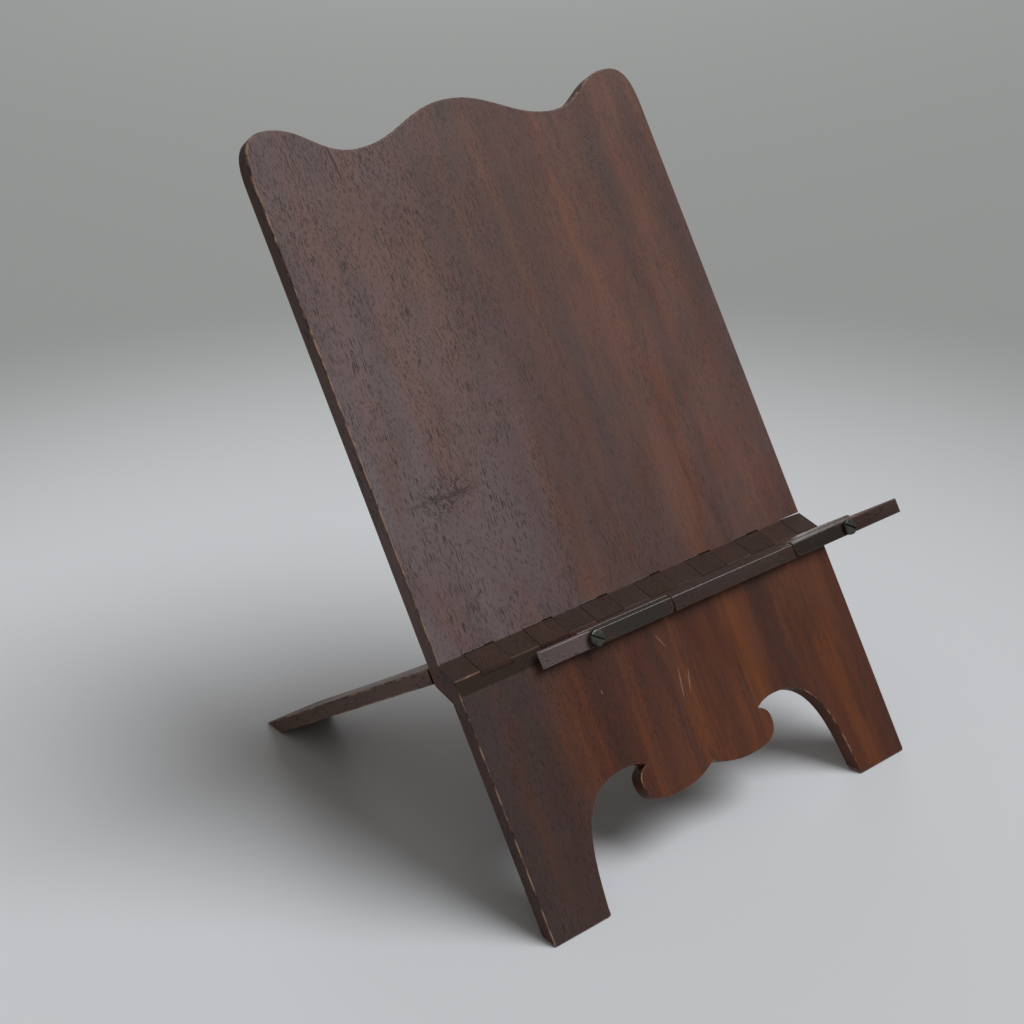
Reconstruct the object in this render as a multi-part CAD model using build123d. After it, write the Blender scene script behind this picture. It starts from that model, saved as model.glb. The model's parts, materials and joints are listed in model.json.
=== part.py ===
# One-piece folding book display stand in mahogany.
# The plank is cranked at its hinge line and split in its thickness into two flaps that
# fold flat. A lip rail with two page holders runs along the front of the ledge.
# Millimetres. +Z up, the front of the stand faces -Y, X runs along the ledge.
from build123d import *
import math
import os

# ---- the plank ----
board_width = 203.0
panel_height = 218.0            # from the ledge to the crown of the top edge
panel_thickness = 8.2
front_flap_thickness = 7.0
rear_flap_thickness = 6.5
crank_step = 7.6                # front flap's face stands this far before the panel's face
panel_lean = 31.4               # degrees back from upright
ledge_height = 95.3             # foot of the panel above the table
opening_angle = 88.65           # between the two flaps when the stand is open
flap_blank = 220.0              # longer than either flap: the feet are cut flat to the table
crank_run = 12.0                # the crank's thick part runs this far down the front flap
crank_back_step = 0.4           # its sloping back starts this much above the barrel's depth

# ---- serpentine top edge of the panel ----
ear_inset = 12.5                # from the side to the crest of the ear
ear_shoulder = 20.4             # height of the ear's outer curve
trough_inset = 50.0             # from the side to the lowest point
trough_depth = 13.6
ear_rise = 0.4                  # the ears stand this much above the crown

# ---- scroll cut between the feet, measured down from the ledge's front edge ----
arch_crown_drop = 58.4
arch_crown_x = 43.0
notch_x = 32.5
notch_drop = 61.0
lobe_side_x = 37.4
lobe_side_drop = 67.2
lobe_foot_x = 20.5
lobe_foot_drop = 77.2
cusp_drop = 72.0
foot_width = 27.9
foot_flare_drop = 104.0         # below this the inner edge of a foot runs straight
foot_flare_in = 0.6

# ---- solid wooden hinge ----
end_knuckle = 12.45
knuckle_count = 14
knuckle_gap = 0.3
barrel_gap = 0.3
kerf_gap = 0.8
boss_radius = 3.2
boss_tip_radius = 1.4
boss_height = 1.8
axis_drop = 0.5                 # the axis lies one barrel radius and this much below the panel

# ---- lip rail ----
rail_length = 213.4
rail_thickness = 5.0
rail_drop = 9.0                 # bottom edge below the ledge's front edge
rail_top_step = 0.2             # back of the rail's top below the ledge's front edge
rail_top_fall = 2.6             # the top slopes down to the front by this much
rail_gap = 0.3
rail_out = 42.4                 # how far the rail stands out to the right
rail_travel = 42.4
shoulder_x = 36.2               # half length of the rail's full-thickness middle
lap_thickness = 2.3
lap_end_thickness = 1.3
lap_past_screw = 6.0
lap_taper_start = 56.0
nosing = 0.9

# ---- page holders ----
holder_gap = 0.3
holder_tip_thickness = 1.1
holder_corner = 3.0
tip_bevel = 1.2
left_screw_inset = 27.5         # from the tip to the pivot screw
right_screw_inset = 35.0
left_face_relief = 1.1          # the left holder's outer half is planed back at the front
relief_past_screw = 1.44        # the planed part starts this far beyond the screw's middle
relief_ramp = 1.5

# ---- pivot screws ----
pivot_shank_radius = 1.5
pivot_fit = 0.08
pivot_head_radius = 3.6
pivot_head_height = 1.7
pivot_slot_width = 0.9
pivot_slot_depth = 0.8
pivot_slot_turn = 35.0
head_seat_gap = 0.15

# ---- guide screws, whose heads run in a slot in the back of the rail ----
guide_knuckle = 8               # both screws stand in this fixed knuckle
guide_spacing = 8.4
guide_shank_radius = 1.1
guide_head_radius = 2.2
guide_head_height = 1.3
guide_length = 8.0
guide_drop = 5.4
guide_clearance = 0.3
guide_slot_width = 0.6
guide_slot_depth = 0.5
guide_neck_depth = 1.4

head_rounding = 0.45            # share of a screw head's height taken by its rounded rim

# ---- cutting and joining solids ----
bite = 0.5                      # pieces of one solid run into each other by this much
past = 1.0                      # a cutter runs past an end by this much
beyond = 400.0                  # larger than the whole stand

half_width = board_width / 2
axis_n = (crank_step - panel_thickness) / 2
barrel_radius = (crank_step + panel_thickness) / 2
axis_u = -(barrel_radius + axis_drop)
ledge_front_u = axis_u
ledge_line = axis_n + axis_u + barrel_radius      # forward + up along the sloping ledge
knuckle_pitch = (board_width - 2 * end_knuckle) / (knuckle_count - 2)
bore_radius = barrel_radius + barrel_gap
front_back_n = crank_step - front_flap_thickness

rail_back_n = crank_step + rail_gap
rail_front_n = rail_back_n + rail_thickness
rail_top_u = ledge_front_u - rail_top_step
rail_bottom_u = ledge_front_u - rail_drop
holder_back_n = rail_back_n + lap_thickness + holder_gap
pivot_u = (rail_top_u - rail_top_fall + rail_bottom_u) / 2
left_pivot_x = -(rail_length / 2 - left_screw_inset)
right_pivot_x = rail_length / 2 - right_screw_inset


def floor_middle():
    """Middle of the open stand's footprint, measured from the foot of the panel."""
    lean = math.radians(panel_lean)
    front_u = -(ledge_height + crank_step * math.sin(lean)) / math.cos(lean)
    front_y = -crank_step * math.cos(lean) + front_u * math.sin(lean)
    tilt = math.radians(opening_angle - panel_lean)     # rear flap, back from straight down
    axis_y = -axis_n * math.cos(lean) + axis_u * math.sin(lean)
    axis_z = ledge_height + axis_n * math.sin(lean) + axis_u * math.cos(lean)
    upper_y = axis_y + barrel_radius * math.cos(tilt)
    upper_z = axis_z + barrel_radius * math.sin(tilt)
    rear_y = upper_y + upper_z * math.tan(tilt)
    right_x = rail_out + rail_length / 2
    return (right_x - half_width) / 2, (front_y + rear_y) / 2


def place(shape):
    """Board frame to the stand's own frame: tilt the panel back and lift it."""
    return Pos(-origin_x, -origin_y, ledge_height) * Rot(-panel_lean, 0, 0) * shape


def prism(profile, x0, x1):
    """Section given as (forward, up) points in the board frame, run from x0 to x1."""
    outline = Polyline(*[(x0, -n, u) for n, u in profile], close=True)
    return extrude(make_face(outline), amount=x1 - x0, dir=(1, 0, 0))


def rod(radius, length, x, n, u):
    """Round bar along X, starting at x."""
    return Pos(x + length / 2, -n, u) * Rot(0, 90, 0) * Cylinder(radius, length)


def peg(radius, n0, n1, x, u):
    """Round bar square to the board, from n0 forward to n1."""
    return Pos(x, -(n0 + n1) / 2, u) * Rot(90, 0, 0) * Cylinder(radius, n1 - n0)


def flat_solid(outline, n0, n1):
    """Outline in the board's plane, thick from n0 forward to n1."""
    return extrude(make_face(Pos(0, -n0, 0) * outline), amount=n1 - n0, dir=(0, -1, 0))


def both_sides(curves):
    return curves + [mirror(curve, about=Plane.YZ) for curve in curves]


def knuckle_span(index):
    start = -half_width
    if index > 0:
        start += end_knuckle + (index - 1) * knuckle_pitch
    width = end_knuckle if index in (0, knuckle_count - 1) else knuckle_pitch
    return start, start + width


def panel_outline():
    crown = panel_height
    shoulder = (half_width, 0, crown + ear_rise - ear_shoulder)
    ear = (half_width - ear_inset, 0, crown + ear_rise)
    trough = (half_width - trough_inset, 0, crown - trough_depth)
    inward = (-1, 0, 0)
    half = [
        Line((0, 0, 0), (half_width, 0, 0)),
        Line((half_width, 0, 0), shoulder),
        Spline(shoulder, ear, tangents=[(0, 0, 1), inward]),
        Spline(ear, trough, tangents=[inward, inward]),
        Spline(trough, (0, 0, crown), tangents=[inward, inward]),
    ]
    return Curve() + both_sides(half)


def flap_outline():
    """Flap with two feet and a scroll cut, hanging from the hinge line."""
    top = axis_u

    def at(x, drop):
        return (x, 0, top - drop)

    inner_x = half_width - foot_width
    crown = at(arch_crown_x, arch_crown_drop)
    flare = at(inner_x - foot_flare_in, foot_flare_drop)
    notch = at(notch_x, notch_drop)
    side = at(lobe_side_x, lobe_side_drop)
    bottom = at(lobe_foot_x, lobe_foot_drop)
    cusp = at(0, cusp_drop)
    down = (0, 0, -1)
    inward = (-1, 0, 0)
    half = [
        Line(at(0, 0), at(half_width, 0)),
        Line(at(half_width, 0), at(half_width, flap_blank)),
        Line(at(half_width, flap_blank), at(inner_x, flap_blank)),
        Line(at(inner_x, flap_blank), flare),
        Spline(flare, crown, tangents=[(-0.1, 0, 1), inward]),
        Spline(crown, notch, tangents=[inward, (-0.85, 0, -0.55)]),
        Spline(notch, side, tangents=[(0.9, 0, -0.4), down]),
        Spline(side, bottom, tangents=[down, inward]),
        Spline(bottom, cusp, tangents=[inward, (-0.85, 0, 0.5)]),
    ]
    return Curve() + both_sides(half)


def hinge_boss(x, side, extra):
    """Cone on a knuckle's end face, pointing along side (+1 or -1)."""
    height = boss_height + extra
    slope = (boss_radius - boss_tip_radius) / boss_height
    base = boss_radius + extra
    tip = base - slope * height
    cone = Cone(base, tip, height, align=(Align.CENTER, Align.CENTER, Align.MIN))
    return Pos(x, -axis_n, axis_u) * Rot(0, 90 * side, 0) * cone


def floor_cut(shape):
    below = Box(4 * beyond, 4 * beyond, beyond, align=(Align.CENTER, Align.CENTER, Align.MAX))
    return shape - below


def front_leaf():
    """Panel, fixed knuckles and front flap, all one piece of wood."""
    leaf = flat_solid(panel_outline(), -panel_thickness, 0)
    slope_top = -(barrel_radius - crank_back_step)
    crank_foot = ledge_front_u - crank_run
    crank = [
        (0, bite),
        (0, ledge_line),
        (crank_step, ledge_front_u),
        (crank_step, crank_foot),
        (front_back_n, crank_foot),
        (front_back_n, slope_top - panel_thickness - front_back_n),
        (-panel_thickness, slope_top),
        (-panel_thickness, bite),
    ]
    leaf += prism(crank, -half_width, half_width)
    leaf += flat_solid(flap_outline(), front_back_n, crank_step)
    for index in range(1, knuckle_count, 2):
        x0, x1 = knuckle_span(index)
        x0 -= knuckle_gap / 2
        x1 += knuckle_gap / 2 if index < knuckle_count - 1 else past
        upper = [(-beyond, 0), (beyond, 0), (beyond, axis_u), (-beyond, axis_u)]
        rear = [(-beyond, axis_u), (axis_n, axis_u), (axis_n, -beyond), (-beyond, -beyond)]
        leaf -= prism(upper, x0, x1)
        leaf -= prism(rear, x0, x1)
        leaf -= rod(bore_radius, x1 - x0, x0, axis_n, axis_u)
    for index in range(1, knuckle_count):
        boundary = knuckle_span(index)[0]
        side = -1 if index % 2 else 1
        leaf -= hinge_boss(boundary - side * knuckle_gap / 2, side, knuckle_gap)
    for x in guide_positions():
        leaf -= peg(guide_shank_radius, crank_step - guide_length, crank_step, x, guide_u())
    return floor_cut(place(leaf))


def guide_positions():
    x0, x1 = knuckle_span(guide_knuckle)
    middle = (x0 + x1) / 2
    return middle - guide_spacing / 2, middle + guide_spacing / 2


def guide_u():
    return ledge_front_u - guide_drop


def rear_leg():
    """Moving knuckles and rear flap. Built folded, then swung open about the hinge."""
    top = axis_u - barrel_radius - kerf_gap
    back = -panel_thickness
    face = back + rear_flap_thickness
    leg = flat_solid(flap_outline(), back, face)
    kerf = [(-beyond, beyond), (beyond, beyond), (beyond, top), (-beyond, top)]
    leg -= prism(kerf, -half_width - past, half_width + past)
    for index in range(1, knuckle_count, 2):
        x0, x1 = knuckle_span(index)
        x0 += knuckle_gap / 2
        x1 -= knuckle_gap / 2 if index < knuckle_count - 1 else 0
        web = [(back, top - bite), (back, axis_u), (face, axis_u), (face, top - bite)]
        leg += prism(web, x0, x1) + rod(barrel_radius, x1 - x0, x0, axis_n, axis_u)
    hinge = Pos(0, -axis_n, axis_u)
    leg = hinge * Rot(opening_angle, 0, 0) * Pos(0, axis_n, -axis_u) * leg
    over = [(-beyond, ledge_line + beyond), (beyond, ledge_line - beyond), (beyond, beyond)]
    for index in range(1, knuckle_count, 2):
        x0, x1 = knuckle_span(index)
        leg -= prism(over, x0, x1)
    for index in range(1, knuckle_count):
        boundary = knuckle_span(index)[0]
        side = -1 if index % 2 else 1
        leg += hinge_boss(boundary - side * knuckle_gap / 2, side, 0)
    return floor_cut(place(leg))


def bar_section(n0, n1):
    """Section shared by the rail and the holders: flat foot, top falling to the front."""
    fall = rail_top_fall / rail_thickness
    return [
        (n0, rail_bottom_u),
        (n1, rail_bottom_u),
        (n1, rail_top_u - fall * (n1 - rail_back_n)),
        (n0, rail_top_u - fall * (n0 - rail_back_n)),
    ]


def plan_cut(points):
    """Upright cutter from a plan given as (x, forward) points."""
    outline = Polyline(*[(x, -n, rail_bottom_u - beyond) for x, n in points], close=True)
    return extrude(make_face(outline), amount=2 * beyond, dir=(0, 0, 1))


def lap_end(side):
    pivot = abs(left_pivot_x if side < 0 else right_pivot_x)
    return pivot + lap_past_screw


def lip_rail():
    """Lip along the front of the ledge, half lapped towards both ends for the holders."""
    lap_front = rail_back_n + lap_thickness
    rail = prism(bar_section(rail_back_n, rail_front_n), -shoulder_x, shoulder_x)
    front_top = rail.edges().filter_by(Axis.X).sort_by(Axis.Y)[:2].sort_by(Axis.Z)[-1]
    rail = fillet(front_top, nosing)
    rail += prism(bar_section(rail_back_n, lap_front), -lap_end(-1), lap_end(1))
    for side in (-1, 1):
        end = side * lap_end(side)
        start = side * lap_taper_start
        planed = rail_back_n + lap_thickness - lap_end_thickness
        rail -= plan_cut([
            (start, rail_back_n),
            (end, planed),
            (end + side * past, planed),
            (end + side * past, 0),
            (start, 0),
        ])
    for x in (left_pivot_x, right_pivot_x):
        rail -= peg(pivot_shank_radius, 0, beyond, x, pivot_u)
    slot_left = guide_positions()[0] - rail_out
    slot_right = guide_positions()[1] - rail_out + rail_travel
    rail -= guide_channel(guide_shank_radius, slot_left, slot_right, -1, guide_neck_depth)
    floor = guide_neck_depth + guide_head_height + 2 * guide_clearance
    rail -= guide_channel(guide_head_radius, slot_left, slot_right, guide_neck_depth, floor)
    return place(Pos(rail_out, 0, 0) * rail)


def guide_channel(radius, x0, x1, depth0, depth1):
    """Round-ended channel along the rail, between two depths from its back."""
    wide = 2 * (radius + guide_clearance)
    slot = SlotOverall(x1 - x0 + wide, wide)
    slot = Rot(90, 0, 0) * extrude(slot, amount=depth1 - depth0)
    return Pos((x0 + x1) / 2, -rail_back_n - depth0, guide_u()) * slot


def page_holder(side):
    """Turning arm, side -1 on the left and +1 on the right."""
    inner = shoulder_x + holder_gap
    tip = rail_length / 2
    pivot = left_pivot_x if side < 0 else right_pivot_x
    x0, x1 = sorted((side * inner, side * tip))
    arm = prism(bar_section(holder_back_n, rail_front_n), x0, x1)
    across = arm.edges().filter_by(Axis.Y).sort_by(Axis.Z)[:2].sort_by(Axis.X)
    arm = fillet(across[0 if side > 0 else -1], holder_corner)
    relieved = rail_front_n - left_face_relief
    thin = rail_front_n - holder_tip_thickness
    if side < 0:
        edge = pivot - relief_past_screw
        arm -= plan_cut([
            (edge + relief_ramp, beyond),
            (edge + relief_ramp, rail_front_n),
            (edge, relieved),
            (-tip - past, relieved),
            (-tip - past, beyond),
        ])
    else:
        end = lap_end(1)
        arm -= plan_cut([
            (end, 0),
            (end, holder_back_n),
            (tip, thin),
            (tip + past, thin),
            (tip + past, 0),
        ])
    front = relieved if side < 0 else rail_front_n
    arm -= plan_cut([
        (side * (tip - tip_bevel), front),
        (side * (tip - tip_bevel), beyond),
        (side * (tip + past), beyond),
        (side * (tip + past), front - tip_bevel / 2),
        (side * tip, front - tip_bevel / 2),
    ])
    arm -= peg(pivot_shank_radius + pivot_fit, 0, beyond, pivot, pivot_u)
    return place(Pos(rail_out, 0, 0) * arm)


def slotted_screw(radius, head, height, n0, n1, slot_width, slot_depth):
    """Screw square to the board: shank from n0 to n1, head in front of n1."""
    screw = peg(radius, n0, n1, 0, 0)
    cap = peg(head, n1, n1 + height, 0, 0)
    cap = fillet(cap.edges().sort_by(Axis.Y)[0], height * head_rounding)
    slot = Box(4 * head, 2 * slot_depth, slot_width)
    return screw + cap - Pos(0, -(n1 + height), 0) * slot


def pivot_screw(side):
    x = left_pivot_x if side < 0 else right_pivot_x
    tapered = (abs(x) - lap_taper_start) / (lap_end(side) - lap_taper_start)
    back = rail_back_n + tapered * (lap_thickness - lap_end_thickness)
    seat = rail_front_n + head_seat_gap
    screw = slotted_screw(pivot_shank_radius, pivot_head_radius, pivot_head_height, back, seat,
                          pivot_slot_width, pivot_slot_depth)
    turned = Rot(0, pivot_slot_turn, 0) * screw
    return place(Pos(rail_out + x, 0, pivot_u) * turned)


def guide_screw(x):
    seat = rail_back_n + guide_neck_depth + guide_clearance
    screw = slotted_screw(guide_shank_radius, guide_head_radius, guide_head_height,
                          crank_step - guide_length, seat, guide_slot_width, guide_slot_depth)
    return place(Pos(x, 0, guide_u()) * screw)


origin_x, origin_y = floor_middle()


def build():
    pieces = {
        "front_leaf": front_leaf(),
        "rear_leg": rear_leg(),
        "lip_rail": lip_rail(),
        "page_holder_left": page_holder(-1),
        "page_holder_right": page_holder(1),
        "pivot_screw_left": pivot_screw(-1),
        "pivot_screw_right": pivot_screw(1),
    }
    for name, x in zip(("guide_screw_left", "guide_screw_right"), guide_positions()):
        pieces[name] = guide_screw(x)
    return pieces


os.makedirs("parts", exist_ok=True)
for node, piece in build().items():
    export_step(piece, f"parts/{node}.step")
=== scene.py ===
# Folding book display stand in old mahogany: softened arrises, wood, varnish and steel
# around the CAD frame. Objects and the studio are in metres, other sizes in millimetres.
import json
import math

import bmesh
import bpy
from mathutils import Matrix, Vector


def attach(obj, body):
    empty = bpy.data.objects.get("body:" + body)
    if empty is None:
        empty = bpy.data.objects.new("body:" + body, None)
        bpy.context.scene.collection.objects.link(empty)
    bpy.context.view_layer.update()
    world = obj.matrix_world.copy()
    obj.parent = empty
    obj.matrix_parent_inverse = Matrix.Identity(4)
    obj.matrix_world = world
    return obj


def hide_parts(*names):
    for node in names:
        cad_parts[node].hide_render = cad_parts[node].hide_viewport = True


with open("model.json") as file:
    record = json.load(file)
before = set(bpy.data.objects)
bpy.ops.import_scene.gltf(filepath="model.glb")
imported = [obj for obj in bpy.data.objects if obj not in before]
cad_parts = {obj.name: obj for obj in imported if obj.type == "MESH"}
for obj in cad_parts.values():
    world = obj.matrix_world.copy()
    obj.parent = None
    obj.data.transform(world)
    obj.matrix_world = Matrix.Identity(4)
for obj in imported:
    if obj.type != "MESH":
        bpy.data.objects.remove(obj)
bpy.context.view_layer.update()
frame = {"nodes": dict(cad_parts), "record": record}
print("frame loaded:", sorted(frame["nodes"]))

mm = 0.001
joints = {joint["name"]: joint for joint in frame["record"]["behaviour"]["joints"]}
hinge = Vector(joints["rear_leg_fold"]["pos_m"])
openAngle = joints["rear_leg_fold"]["range_deg"][1]        # between the leaves as they stand
faceNormal = Vector(joints["holder_left_turn"]["axis"])    # square to the front of the board
boardUp = Vector((0, faceNormal.z, -faceNormal.y))
boardLean = math.degrees(math.atan2(faceNormal.z, -faceNormal.y))
smooth = {"interpolation_type": "SMOOTHSTEP"}              # every mask fades in and out softly


def toLinear(hexColour):
    channels = [int(hexColour[i:i + 2], 16) / 255 for i in (1, 3, 5)]
    return [c / 12.92 if c <= 0.04045 else ((c + 0.055) / 1.055) ** 2.4 for c in channels] + [1.0]


def addNode(tree, kind, settings, inputs):
    # settings are the node's own options; an input takes a value or another node's socket
    node = tree.nodes.new(kind)
    for key, option in settings.items():
        setattr(node, key, option)
    for key, value in inputs.items():
        if isinstance(value, bpy.types.NodeSocket):
            tree.links.new(value, node.inputs[key])
        else:
            node.inputs[key].default_value = value
    return node


def newMaterial(name):
    material = bpy.data.materials.new(name)
    material.use_nodes = True
    material.node_tree.nodes.clear()
    return material, material.node_tree


def placesOn(tree, tilt, alongRail):
    # what patterns are placed by, in mm from the hinge line: X across, Y backward and Z up
    # the board, reach away from the hinge's axis, and side, how far the surface looks to the
    # right (1) or left (-1). The grain runs up the board, or along a rail.
    here = addNode(tree, "ShaderNodeTexCoord", {}, {}).outputs
    turned = addNode(tree, "ShaderNodeMapping", {"vector_type": "TEXTURE"}, {
        "Vector": here["Object"], "Location": hinge, "Rotation": (math.radians(tilt), 0, 0),
    })
    board = addNode(tree, "ShaderNodeVectorMath", {"operation": "SCALE"}, {
        0: turned.outputs[0], "Scale": 1 / mm,
    }).outputs[0]
    parts = addNode(tree, "ShaderNodeSeparateXYZ", {}, {0: board}).outputs
    grain = board
    if alongRail:
        grain = addNode(tree, "ShaderNodeCombineXYZ", {}, {
            "X": parts["Z"], "Y": parts["Y"], "Z": parts["X"],
        }).outputs[0]
    fromAxis = addNode(tree, "ShaderNodeVectorMath", {"operation": "MULTIPLY"}, {0: board, 1: (0, 1, 1)})
    reach = addNode(tree, "ShaderNodeVectorMath", {"operation": "LENGTH"}, {0: fromAxis.outputs[0]})
    looks = addNode(tree, "ShaderNodeSeparateXYZ", {}, {0: here["Normal"]}).outputs
    return {
        "board": board, "grain": grain, "X": parts["X"], "Y": parts["Y"], "Z": parts["Z"],
        "reach": reach.outputs["Value"], "side": looks["X"],
    }


def streaks(tree, at, pattern, seed):
    # noise drawn out along the grain: sizeMm is a mark's width, depth and length, and noise
    # is its detail, roughness and distortion
    shift = seed + pattern["shift"]
    detail, roughness, distortion = pattern["noise"]
    stretched = addNode(tree, "ShaderNodeVectorMath", {"operation": "MULTIPLY_ADD"}, {
        0: at["grain"], 1: [1 / size for size in pattern["sizeMm"]], 2: (shift, shift, shift),
    })
    return addNode(tree, "ShaderNodeTexNoise", {}, {
        "Vector": stretched.outputs[0], "Scale": 1.0,
        "Detail": detail, "Roughness": roughness, "Distortion": distortion,
    }).outputs["Fac"]


def marks(tree, at, pattern, seed):
    # streaks as a mask: levels are where in the noise a mark begins and is full, and shows
    # is how much of it there is below and above them
    return addNode(tree, "ShaderNodeMapRange", smooth, {
        "Value": streaks(tree, at, pattern, seed),
        "From Min": pattern["levels"][0], "From Max": pattern["levels"][1],
        "To Min": pattern["shows"][0], "To Max": pattern["shows"][1],
    }).outputs[0]


def fades(tree, at, where):
    # a mask for each row of where: the measure it follows, where along that it begins and
    # ends to change, and its strength before and after
    return [
        addNode(tree, "ShaderNodeMapRange", smooth, {
            "Value": at[measure], "From Min": begin, "From Max": end, "To Min": before, "To Max": after,
        }).outputs[0]
        for measure, begin, end, before, after in where
    ]


def overlap(tree, masks):
    # masks, and plain shares of them, multiplied together
    whole = masks[0]
    for mask in masks[1:]:
        whole = addNode(tree, "ShaderNodeMath", {"operation": "MULTIPLY"}, {0: whole, 1: mask}).outputs[0]
    return whole


def oval(tree, at, spot):
    # a mask of an oval on the board's face: its middle and half size across and up the
    # board, how soft its rim is, and how far it leans over for each mm up
    (middleX, middleZ), (halfX, halfZ), soft, slant = spot
    moved = addNode(tree, "ShaderNodeVectorMath", {"operation": "SUBTRACT"}, {
        0: at["board"], 1: (middleX, 0, middleZ),
    })
    parts = addNode(tree, "ShaderNodeSeparateXYZ", {}, {0: moved.outputs[0]}).outputs
    upright = addNode(tree, "ShaderNodeMath", {"operation": "MULTIPLY_ADD"}, {
        0: parts["Z"], 1: -slant, 2: parts["X"],
    }).outputs[0]
    flat = addNode(tree, "ShaderNodeCombineXYZ", {}, {"X": upright, "Z": parts["Z"]})
    scaled = addNode(tree, "ShaderNodeVectorMath", {"operation": "DIVIDE"}, {
        0: flat.outputs[0], 1: (halfX, 1, halfZ),
    })
    reach = addNode(tree, "ShaderNodeVectorMath", {"operation": "LENGTH"}, {0: scaled.outputs[0]})
    return addNode(tree, "ShaderNodeMapRange", smooth, {
        "Value": reach.outputs["Value"],
        "From Min": 1 - soft, "From Max": 1 + soft, "To Min": 1.0, "To Max": 0.0,
    }).outputs[0]


# Varnished mahogany, planed flat and a century old. The varnish has gone satin and keeps
# its IOR of 1.5. Ribbon figure runs up the board, with short dark open pores. A list named
# for where something lies holds rows for fades.
mahogany = {
    "dark": "#3f1a0b",
    "mid": "#562812",
    "warm": "#703a14",
    "pore": "#1c0e0a",
    "smoke": "#2b1a17",              # old wax and dirt in soft patches
    "bareAndHighlight": "#b08c78",               # wood rubbed through the varnish on the arrises and in scratches, and a painted highlight on the arrises that face left
    "alongRail": False,
    "ribbon": {"sizeMm": (24.0, 60.0, 260.0), "noise": (3.0, 0.5, 0.5), "shift": 0},
    "ribbonStops": (0.34, 0.50, 0.66),         # of the noise, for dark, mid and warm
    "mottle": {
        "sizeMm": (4.5, 15.0, 34.0), "noise": (4.0, 0.6, 0.6), "shift": 13,
        "levels": (0.46, 0.70), "shows": (0.0, 0.45),
    },
    "fibre": {
        "sizeMm": (1.3, 4.0, 60.0), "noise": (4.0, 0.6, 0.2), "shift": 3,
        "levels": (0.35, 0.65), "shows": (0.0, 0.30),
    },
    "patch": {
        "sizeMm": (30.0, 60.0, 60.0), "noise": (3.0, 0.6, 0.4), "shift": 7,
        "levels": (0.48, 0.78), "shows": (0.0, 0.5),
    },
    "coarsePore": {                  # drawn twice as wide as real pores, so they show
        "sizeMm": (0.55, 2.0, 5.0), "noise": (1.5, 0.45, 0.0), "shift": 17,
        "levels": (0.60, 0.65), "shows": (0.0, 1.0),
    },
    "poreDrift": {                   # coarse pores crowd together in drifts
        "sizeMm": (10.0, 20.0, 40.0), "noise": (3.0, 0.55, 0.0), "shift": 23,
        "levels": (0.40, 0.60), "shows": (0.1, 1.0),
    },
    "finePore": {
        "sizeMm": (0.42, 1.5, 2.6), "noise": (1.0, 0.4, 0.0), "shift": 29,
        "levels": (0.58, 0.72), "shows": (0.0, 0.6),
    },
    "veil": {                        # how thick bloom and old polish lie
        "sizeMm": (28.0, 60.0, 70.0), "noise": (4.0, 0.65, 0.5), "shift": 11,
        "levels": (0.30, 0.65), "shows": (0.7, 1.15),
    },
    "arrisWearAndHighlight": {                    # what hands have rubbed off the edges, which also breaks up the painted highlight there
        "sizeMm": (3.0, 3.0, 9.0), "noise": (4.0, 0.7, 0.0), "shift": 31,
        "levels": (0.42, 0.60), "shows": (0.0, 0.85),
    },
    "arrisHighlightWhere": [("side", -0.45, -0.1, 1.0, 0.12)],      # mostly on the left, where the pale colour is also a painted highlight
    "poreDepthMm": 0.10,
    "poreAmount": 0.84,
    "poreWhere": [],
    "coats": [],                     # colour that age has given, the lowest coat first
    "knots": [],
    "scratches": [],
    "roughness": (0.40, 0.52),       # where the veil is thin and thick
    "roughLevels": (0.3, 0.7),
    "ior": 1.5,
    "specular": 0.36,
}

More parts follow.
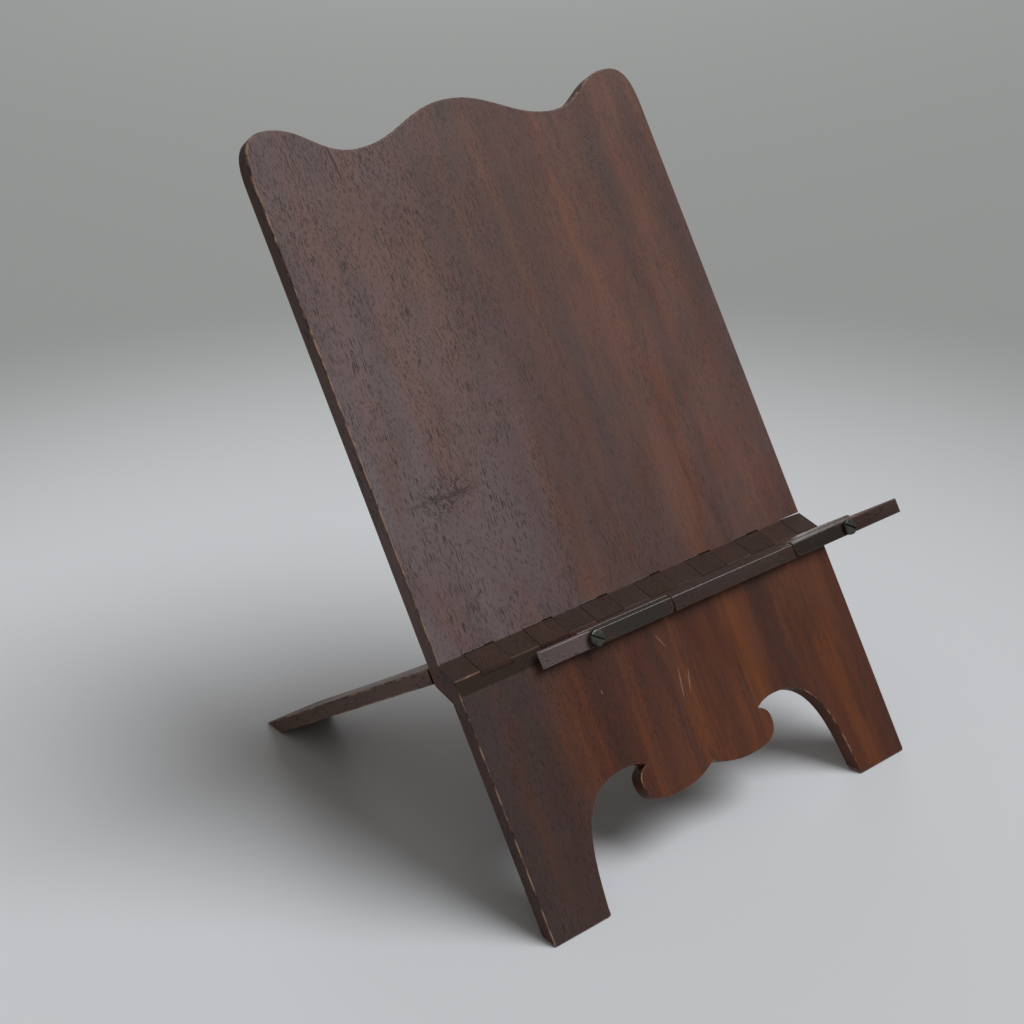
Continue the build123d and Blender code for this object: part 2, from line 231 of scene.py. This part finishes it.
# the front leaf's panel is above its hinge line, and its flap and front foot below it
ledgeColour = "#301e17"
lessOnSides = [                      # the board's cut sides have less bloom than its face
    ("side", -0.8, -0.4, 0.25, 1.0), ("side", 0.4, 0.8, 1.0, 0.25),
]
lipBand = [                          # the ledge front that a centred lip rail covers
    ("Z", -6.75, -6.25, 0.0, 1.0), ("Z", 0.25, 0.75, 1.0, 0.0),
    ("Y", -7.4, -6.8, 1.0, 0.0), ("X", -56.0, -52.0, 1.0, 0.0),
]
frontLeafWood = dict(
    mahogany,
    coats=[
        {   # grey bloom on the panel, thickest at the left
            "colour": "#695b5d", "amount": 1.0, "veiled": True,
            "where": lessOnSides + [
                ("Z", 7.6, 8.0, 0.0, 1.0), ("Z", 90.0, 190.0, 1.0, 0.48), ("X", -90.0, 20.0, 0.84, 0.30),
            ],
        },
        {   # and on the left of the flap
            "colour": "#392d2c", "amount": 1.0, "veiled": True,
            "where": lessOnSides + [("Z", -3.0, 1.0, 1.0, 0.0), ("X", -88.0, -38.0, 0.80, 0.10)],
        },
        {   # the ledge is darker
            "colour": ledgeColour, "amount": 0.90, "veiled": False,
            "where": [("Z", -0.4, 0.0, 0.0, 1.0), ("Z", 7.7, 8.1, 1.0, 0.0), ("Y", -0.4, -0.1, 1.0, 0.0)],
        },
        {   # the band under the lip rail has stayed dull and dark
            "colour": "#2a1c13", "amount": 0.90, "veiled": False, "where": lipBand,
        },
        {   # the ledge's front arris at the left, partly rubbed bare and partly a painted highlight
            "colour": mahogany["bareAndHighlight"], "amount": 1.0, "veiled": False,
            "where": [
                ("Z", -0.45, -0.25, 0.0, 1.0), ("Z", 0.20, 0.40, 1.0, 0.0),
                ("Y", -7.6, -7.2, 1.0, 0.0), ("X", -62.0, -40.0, 1.0, 0.15),
            ],
            "rubAndHighlight": {
                "sizeMm": (16.0, 3.0, 3.0), "noise": (3.0, 0.6, 0.0), "shift": 61,
                "levels": (0.4, 0.6), "shows": (0.15, 0.7),
            },
        },
    ],
    poreWhere=[("X", -60.0, 20.0, 1.0, 0.5), ("Z", -12.0, 0.0, 0.85, 1.0)],
    knots=[                          # each has the oval that it fills, and its marks
        {   # a pin knot
            "spot": ((-70.0, 68.0), (13.0, 8.0), 0.5, 0.0),
            "marks": {
                "sizeMm": (1.6, 4.0, 2.2), "noise": (3.0, 0.6, 1.2), "shift": 5,
                "levels": (0.50, 0.62), "shows": (0.0, 1.0),
            },
        },
        {   # the crack across it
            "spot": ((-70.0, 68.0), (19.0, 1.3), 0.4, 0.0),
            "marks": {
                "sizeMm": (4.0, 4.0, 0.9), "noise": (4.0, 0.75, 2.0), "shift": 9,
                "levels": (0.44, 0.60), "shows": (0.0, 0.8),
            },
        },
        {"spot": ((-64.0, 208.0), (0.35, 8.0), 0.4, -0.1)},     # a hair crack near the left ear
    ],
    scratches=[                      # narrow ovals, worn through the varnish
        ((-1.2, -37.0), (0.30, 6.0), 0.4, 0.20),
        ((3.3, -37.5), (0.28, 4.6), 0.4, 0.34),
        ((-40.0, -27.0), (0.30, 0.9), 0.4, 0.0),
        ((-3.5, -18.0), (0.22, 3.2), 0.4, -0.5),
    ],
    scratchAmount=0.4,
    dullWhere=lipBand,
    dullRoughness=0.85,              # the varnish has lost its shine there
)

# the rear leaf has a thin even bloom, and knuckles as dark as the ledge they turn in
knuckleWhere = [("reach", 9.0, 11.0, 1.0, 0.0)]
rearLegWood = dict(
    mahogany,
    veilStops=knuckleWhere,
    veilStopRate=2.0,                # how quickly the bloom gives out towards the knuckles
    coats=[
        {"colour": "#6a5a50", "amount": 0.35, "veiled": True, "where": []},
        {"colour": ledgeColour, "amount": 0.90, "veiled": False, "where": knuckleWhere},
    ],
)

# The rail and holders are handled most: nearly black with old polish, brown where it is
# rubbed, and grey green towards the inner end of each holder.
railWood = dict(
    mahogany,
    dark="#23120d",
    mid="#311a12",
    warm="#402518",
    bareAndHighlight="#6d5a4e",
    alongRail=True,
    ribbon=dict(mahogany["ribbon"], sizeMm=(8.0, 20.0, 120.0)),
    mottle=dict(mahogany["mottle"], sizeMm=(3.0, 10.0, 20.0)),
    patch=dict(mahogany["patch"], sizeMm=(14.0, 20.0, 30.0)),
    coarsePore=dict(mahogany["coarsePore"], sizeMm=(0.5, 2.0, 3.5)),
    poreDepthMm=0.015,
    coats=[{"colour": "#4a3e3b", "amount": 0.32, "veiled": True, "where": []}],
    roughness=(0.18, 0.30),
    specular=0.5,
)
leftHolderWood = dict(railWood, coats=railWood["coats"] + [
    {
        "colour": "#2b2b27", "amount": 0.75, "veiled": False,
        "where": [("X", -39.0, -25.0, 0.0, 1.0), ("X", -5.0, 9.0, 1.0, 0.0)],
    },
    {   # painted light: lighter and greyer beyond the screw, where this end catches more light
        "colour": "#67595a", "amount": 0.75, "veiled": False, "where": [("X", -42.0, -34.0, 1.0, 0.0)],
    },
    {   # painted highlight: the left-facing end is painted pale where light catches it
        "colour": "#8d938c", "amount": 0.7, "veiled": False, "where": [("side", -0.7, -0.3, 1.0, 0.0)],
    },
])
rightHolderWood = dict(railWood, dark="#331a12", mid="#48261b", warm="#5c3322", coats=railWood["coats"] + [
    {
        "colour": "#191b18", "amount": 0.75, "veiled": False,
        "where": [("X", 69.0, 83.0, 0.0, 1.0), ("X", 105.0, 119.0, 1.0, 0.0)],
    },
])


def openPores(tree, at, wood, seed):
    # short dark dashes in drifts with finer ones between them, then knots and cracks
    coarse = [marks(tree, at, wood["coarsePore"], seed), marks(tree, at, wood["poreDrift"], seed)]
    fine = marks(tree, at, wood["finePore"], seed)
    pores = addNode(tree, "ShaderNodeMath", {"operation": "MAXIMUM"}, {0: overlap(tree, coarse), 1: fine})
    pores = overlap(tree, [pores.outputs[0]] + fades(tree, at, wood["poreWhere"]))
    for knot in wood["knots"]:
        dark = [oval(tree, at, knot["spot"])]
        if "marks" in knot:
            dark.append(marks(tree, at, knot["marks"], seed))
        pores = addNode(tree, "ShaderNodeMath", {"operation": "MAXIMUM"}, {
            0: pores, 1: overlap(tree, dark),
        }).outputs[0]
    return pores


def makeMahogany(name, tilt, wood, seed, arris):
    material, tree = newMaterial(name)
    at = placesOn(tree, tilt, wood["alongRail"])
    pores = openPores(tree, at, wood, seed)
    veilNoise = streaks(tree, at, wood["veil"], seed)
    veil = addNode(tree, "ShaderNodeMapRange", smooth, {
        "Value": veilNoise,
        "From Min": wood["veil"]["levels"][0], "From Max": wood["veil"]["levels"][1],
        "To Min": wood["veil"]["shows"][0], "To Max": wood["veil"]["shows"][1],
    }).outputs[0]
    if "veilStops" in wood:
        stop = overlap(tree, fades(tree, at, wood["veilStops"]))
        veil = addNode(tree, "ShaderNodeMath", {"operation": "MULTIPLY_ADD", "use_clamp": True}, {
            0: stop, 1: -wood["veilStopRate"], 2: veil,
        }).outputs[0]

    layers = [
        (marks(tree, at, wood["mottle"], seed), wood["smoke"]),
        (marks(tree, at, wood["fibre"], seed), wood["dark"]),
        (marks(tree, at, wood["patch"], seed), wood["smoke"]),
    ]
    for coat in wood["coats"]:
        masks = fades(tree, at, coat["where"])
        if coat["veiled"]:
            masks.append(veil)
        # a coat's rub pattern breaks up its wear and its painted highlight alike
        if "rubAndHighlight" in coat:
            masks.append(marks(tree, at, coat["rubAndHighlight"], seed))
        layers.append((overlap(tree, masks + [coat["amount"]]), coat["colour"]))
    layers.append((overlap(tree, [pores, wood["poreAmount"]]), wood["pore"]))
    for scratch in wood["scratches"]:
        layers.append((overlap(tree, [oval(tree, at, scratch), wood["scratchAmount"]]), wood["bareAndHighlight"]))
    # pale arrises: wear, and a painted highlight on the edges that face left
    if arris:
        wornAndHighlit = [marks(tree, at, wood["arrisWearAndHighlight"], seed)] + fades(tree, at, wood["arrisHighlightWhere"])
        layers.append((overlap(tree, wornAndHighlit), wood["bareAndHighlight"]))

    figure = addNode(tree, "ShaderNodeValToRGB", {}, {"Fac": streaks(tree, at, wood["ribbon"], seed)})
    stops = figure.color_ramp.elements
    low, middle, high = wood["ribbonStops"]
    stops[0].position, stops[0].color = low, toLinear(wood["dark"])
    stops[1].position, stops[1].color = high, toLinear(wood["warm"])
    stops.new(middle).color = toLinear(wood["mid"])
    colour = figure.outputs["Color"]
    for mask, hexColour in layers:
        colour = addNode(tree, "ShaderNodeMix", {"data_type": "RGBA"}, {
            0: mask, 6: colour, 7: toLinear(hexColour),       # the factor and the two colours
        }).outputs[2]

    rough = addNode(tree, "ShaderNodeMapRange", smooth, {
        "Value": veilNoise, "From Min": wood["roughLevels"][0], "From Max": wood["roughLevels"][1],
        "To Min": wood["roughness"][0], "To Max": wood["roughness"][1],
    }).outputs[0]
    if "dullWhere" in wood:
        dull = addNode(tree, "ShaderNodeMapRange", smooth, {
            "Value": overlap(tree, fades(tree, at, wood["dullWhere"])), "To Max": wood["dullRoughness"],
        })
        rough = addNode(tree, "ShaderNodeMath", {"operation": "MAXIMUM"}, {
            0: rough, 1: dull.outputs[0],
        }).outputs[0]
    bump = addNode(tree, "ShaderNodeBump", {}, {
        "Strength": 1.0, "Distance": 1.0, "Height": overlap(tree, [pores, -wood["poreDepthMm"] * mm]),
    })
    surface = addNode(tree, "ShaderNodeBsdfPrincipled", {}, {
        "Base Color": colour, "Roughness": rough, "Normal": bump.outputs[0],
        "IOR": wood["ior"], "Specular IOR Level": wood["specular"],
    })
    addNode(tree, "ShaderNodeOutputMaterial", {}, {"Surface": surface.outputs[0]})
    return material


def flatAndArris(name, tilt, wood, seed):
    # the flat of the wood and its worn edge, whose pale colour is partly a painted highlight
    return [makeMahogany(name + suffix, tilt, wood, seed, suffix == "Arris") for suffix in ("", "Arris")]


frontFinish = flatAndArris("mahoganyFront", -boardLean, frontLeafWood, 0.0)
rearFinish = flatAndArris("mahoganyRear", openAngle - boardLean, rearLegWood, 40.0)
railFinish = flatAndArris("mahoganyRail", -boardLean, railWood, 90.0)
leftFinish = flatAndArris("mahoganyLeftHolder", -boardLean, leftHolderWood, 120.0)
rightFinish = flatAndArris("mahoganyRightHolder", -boardLean, rightHolderWood, 150.0)
print("mahogany made")

# Aged steel, turned and slotted by hand: dull grey with brown in the low places.
screwSteel = {
    "bright": "#565a53",
    "dark": "#302c28",
    "blotch": {"sizeMm": (2.2, 2.2, 2.2), "noise": (4.0, 0.6, 0.0), "shift": 0},
    "darkLevels": (0.35, 0.75),
    "roughness": (0.38, 0.58),       # of the bright places and the brown ones
    "roughLevels": (0.3, 0.7),
}


def makeScrewSteel():
    material, tree = newMaterial("agedSteel")
    blotch = streaks(tree, placesOn(tree, -boardLean, False), screwSteel["blotch"], 0.0)
    darkness = addNode(tree, "ShaderNodeMapRange", smooth, {
        "Value": blotch, "From Min": screwSteel["darkLevels"][0], "From Max": screwSteel["darkLevels"][1],
    })
    colour = addNode(tree, "ShaderNodeMix", {"data_type": "RGBA"}, {
        0: darkness.outputs[0], 6: toLinear(screwSteel["bright"]), 7: toLinear(screwSteel["dark"]),
    })
    rough = addNode(tree, "ShaderNodeMapRange", smooth, {
        "Value": blotch, "From Min": screwSteel["roughLevels"][0], "From Max": screwSteel["roughLevels"][1],
        "To Min": screwSteel["roughness"][0], "To Max": screwSteel["roughness"][1],
    })
    surface = addNode(tree, "ShaderNodeBsdfPrincipled", {}, {
        "Metallic": 1.0, "Base Color": colour.outputs[2], "Roughness": rough.outputs[0],
    })
    addNode(tree, "ShaderNodeOutputMaterial", {}, {"Surface": surface.outputs[0]})
    return material


steel = makeScrewSteel()
print("steel made")

# how far each arris is rounded over, and the knuckles' side play
wear = {
    "panel": 0.9,
    "flap": 0.5,
    "foot": 1.2,
    "rail": 0.35,
    "knuckleReach": 11.5,            # this near the hinge, edges keep their sharp saw cut
    "footHeight": 1.0,               # edges lower than this are the feet's
    "sharpAngle": 28.0,              # degrees: edges that bend more than this are arrises
    "flatAngle": 0.5,                # degrees: faces that bend less than this are joined
    "weldReach": 0.002,
    "bevelSteps": 3,
    "slip": 0.17,                    # the rear leaf's play, all taken up to the right
    "flankReach": 8.6,               # the knuckles' flanks are this near the hinge
    "flankSpan": 100.0,              # and this near the middle, inside the board's sides
    "flankFacing": 0.99,
}


def leafWear(middle):
    fromHinge = middle - hinge
    if math.hypot(fromHinge.y, fromHinge.z) < wear["knuckleReach"] * mm:
        return 0.0
    if middle.z < wear["footHeight"] * mm:
        return wear["foot"]
    return wear["panel"] if fromHinge.dot(boardUp) > 0 and middle.z > hinge.z else wear["flap"]


def railWear(middle):
    return wear["rail"]


def closeRightGaps(shape):
    # the rear leaf has slipped across until the right flank of each knuckle touches
    for vertex in shape.verts:
        fromHinge = vertex.co - hinge
        inKnuckle = math.hypot(fromHinge.y, fromHinge.z) < wear["flankReach"] * mm
        inBoard = abs(fromHinge.x) < wear["flankSpan"] * mm
        onFlank = any(face.normal.x > wear["flankFacing"] for face in vertex.link_faces)
        if inKnuckle and inBoard and onFlank:
            vertex.co.x += wear["slip"] * mm


def softenedCopy(node, name, body, woods, wornAt):
    # the CAD shape with its coplanar triangles joined and its arrises rounded over
    shape = bmesh.new()
    shape.from_mesh(frame["nodes"][node].data)
    bmesh.ops.remove_doubles(shape, verts=shape.verts, dist=wear["weldReach"] * mm)
    flat = math.radians(wear["flatAngle"])
    bmesh.ops.dissolve_limit(shape, angle_limit=flat, verts=shape.verts, edges=shape.edges)
    if name == "rearLeg":
        shape.normal_update()
        closeRightGaps(shape)
    weights = shape.edges.layers.float.new("bevel_weight_edge")
    for face in shape.faces:
        face.smooth = True
    sharp = math.radians(wear["sharpAngle"])
    for edge in shape.edges:
        if len(edge.link_faces) == 2 and edge.calc_face_angle() > sharp:
            edge[weights] = wornAt((edge.verts[0].co + edge.verts[1].co) / 2)
            edge.smooth = edge[weights] > 0
    mesh = bpy.data.meshes.new(name)
    shape.to_mesh(mesh)
    shape.free()
    if "custom_normal" in mesh.attributes:
        mesh.attributes.remove(mesh.attributes["custom_normal"])
    mesh.materials.clear()
    for wood in woods:
        mesh.materials.append(wood)
    mesh.polygons.foreach_set("material_index", [0] * len(mesh.polygons))
    piece = bpy.data.objects.new(name, mesh)
    bpy.context.collection.objects.link(piece)
    bevel = piece.modifiers.new("wornArris", "BEVEL")
    bevel.width = mm                 # an edge's weight is its wear in mm
    bevel.segments = wear["bevelSteps"]
    bevel.limit_method = "WEIGHT"
    bevel.use_clamp_overlap = False
    bevel.harden_normals = True
    bevel.material = 1               # the second of the woods, rubbed bare and with a painted highlight
    worn = piece.evaluated_get(bpy.context.evaluated_depsgraph_get())
    piece.data = bpy.data.meshes.new_from_object(worn)
    piece.modifiers.clear()
    piece.data.name = name
    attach(piece, body)
    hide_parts(node)
    print("softened", name, len(piece.data.polygons), "faces")


softenedCopy("front_leaf", "frontLeaf", "stand", frontFinish, leafWear)
softenedCopy("rear_leg", "rearLeg", "rear_flap", rearFinish, leafWear)
softenedCopy("lip_rail", "lipRail", "rail", railFinish, railWear)
softenedCopy("page_holder_left", "pageHolderLeft", "holder_left", leftFinish, railWear)
softenedCopy("page_holder_right", "pageHolderRight", "holder_right", rightFinish, railWear)

for node in ("pivot_screw_left", "pivot_screw_right", "guide_screw_left", "guide_screw_right"):
    for finish in frame["nodes"][node].material_slots:
        finish.material = steel
print("pieces made")

# the studio, in metres: a matt floor with a painted pool of light, pale by the stand and darker with
# distance, and a dim even sky
studio = {
    "floorColour": "#d3d7dc",
    "farShadeColour": "#9b9e9e",
    "lightPoolMiddle": (-0.14, 0.0, 0.0),
    "nearReach": 0.30,
    "farReach": 0.80,
    "floorSize": 14.0,
    "floorRoughness": 0.8,
    "floorSpecular": 0.2,
    "skyColour": "#d2ccc4",
    "skyStrength": 0.31,
}

floorMesh = bpy.data.meshes.new("studioFloor")
half = studio["floorSize"] / 2
corners = [(-half, -half, 0), (half, -half, 0), (half, half, 0), (-half, half, 0)]
floorMesh.from_pydata(corners, [], [(0, 1, 2, 3)])
floor = bpy.data.objects.new("studioFloor", floorMesh)
bpy.context.collection.objects.link(floor)
floorPaint, floorTree = newMaterial("paleFloor")
floorHere = addNode(floorTree, "ShaderNodeTexCoord", {}, {}).outputs["Object"]
# painted light: the floor's colour darkens away from a point by the stand
fromMiddle = addNode(floorTree, "ShaderNodeVectorMath", {"operation": "SUBTRACT"}, {
    0: floorHere, 1: studio["lightPoolMiddle"],
})
fromStand = addNode(floorTree, "ShaderNodeVectorMath", {"operation": "LENGTH"}, {0: fromMiddle.outputs[0]})
lightFalloff = addNode(floorTree, "ShaderNodeMapRange", smooth, {
    "Value": fromStand.outputs["Value"], "From Min": studio["nearReach"], "From Max": studio["farReach"],
})
floorColour = addNode(floorTree, "ShaderNodeMix", {"data_type": "RGBA"}, {
    0: lightFalloff.outputs[0], 6: toLinear(studio["floorColour"]), 7: toLinear(studio["farShadeColour"]),
})
floorSurface = addNode(floorTree, "ShaderNodeBsdfPrincipled", {}, {
    "Base Color": floorColour.outputs[2],
    "Roughness": studio["floorRoughness"], "Specular IOR Level": studio["floorSpecular"],
})
addNode(floorTree, "ShaderNodeOutputMaterial", {}, {"Surface": floorSurface.outputs[0]})
floorMesh.materials.append(floorPaint)

sky = bpy.data.worlds.new("studioSky")
bpy.context.scene.world = sky
sky.use_nodes = True
skyLight = sky.node_tree.nodes["Background"].inputs
skyLight["Color"].default_value = toLinear(studio["skyColour"])
skyLight["Strength"].default_value = studio["skyStrength"]

# name: kind, where it stands, how soft it is (degrees or metres) and its power
lights = {
    "windowRight": ("SUN", (0.41, -0.36, 0.86), 42.0, 2.2),
    "windowBack": ("AREA", (2.2, 2.9, 1.7), 1.5, 14.0),
}
for name, (kind, place, softness, power) in lights.items():
    lamp = bpy.data.lights.new(name, kind)
    lamp.energy = power
    if kind == "SUN":
        lamp.angle = math.radians(softness)
    else:
        lamp.size = softness
    lampObject = bpy.data.objects.new(name, lamp)
    lampObject.location = place
    lampObject.rotation_euler = Vector(place).to_track_quat("Z", "Y").to_euler()
    bpy.context.collection.objects.link(lampObject)

viewpoint = {
    "place": (-0.4284, -0.4875, 0.4066),
    "yaw": 37.43,                    # degrees to the right of straight on
    "pitch": -24.72,
    "roll": -2.51,
    "lens": 56.82,
    "nearest": 0.01,
}
lens = bpy.data.cameras.new("viewpoint")
lens.lens = viewpoint["lens"]
lens.clip_start = viewpoint["nearest"]
camera = bpy.data.objects.new("viewpoint", lens)
bpy.context.collection.objects.link(camera)
turn = Matrix.Rotation(math.radians(-viewpoint["yaw"]), 4, "Z")
tip = Matrix.Rotation(math.radians(90 + viewpoint["pitch"]), 4, "X")
roll = Matrix.Rotation(math.radians(viewpoint["roll"]), 4, "Z")
camera.matrix_world = Matrix.Translation(viewpoint["place"]) @ turn @ tip @ roll
bpy.context.scene.camera = camera
bpy.context.scene.view_settings.view_transform = "Standard"
print("studio made")
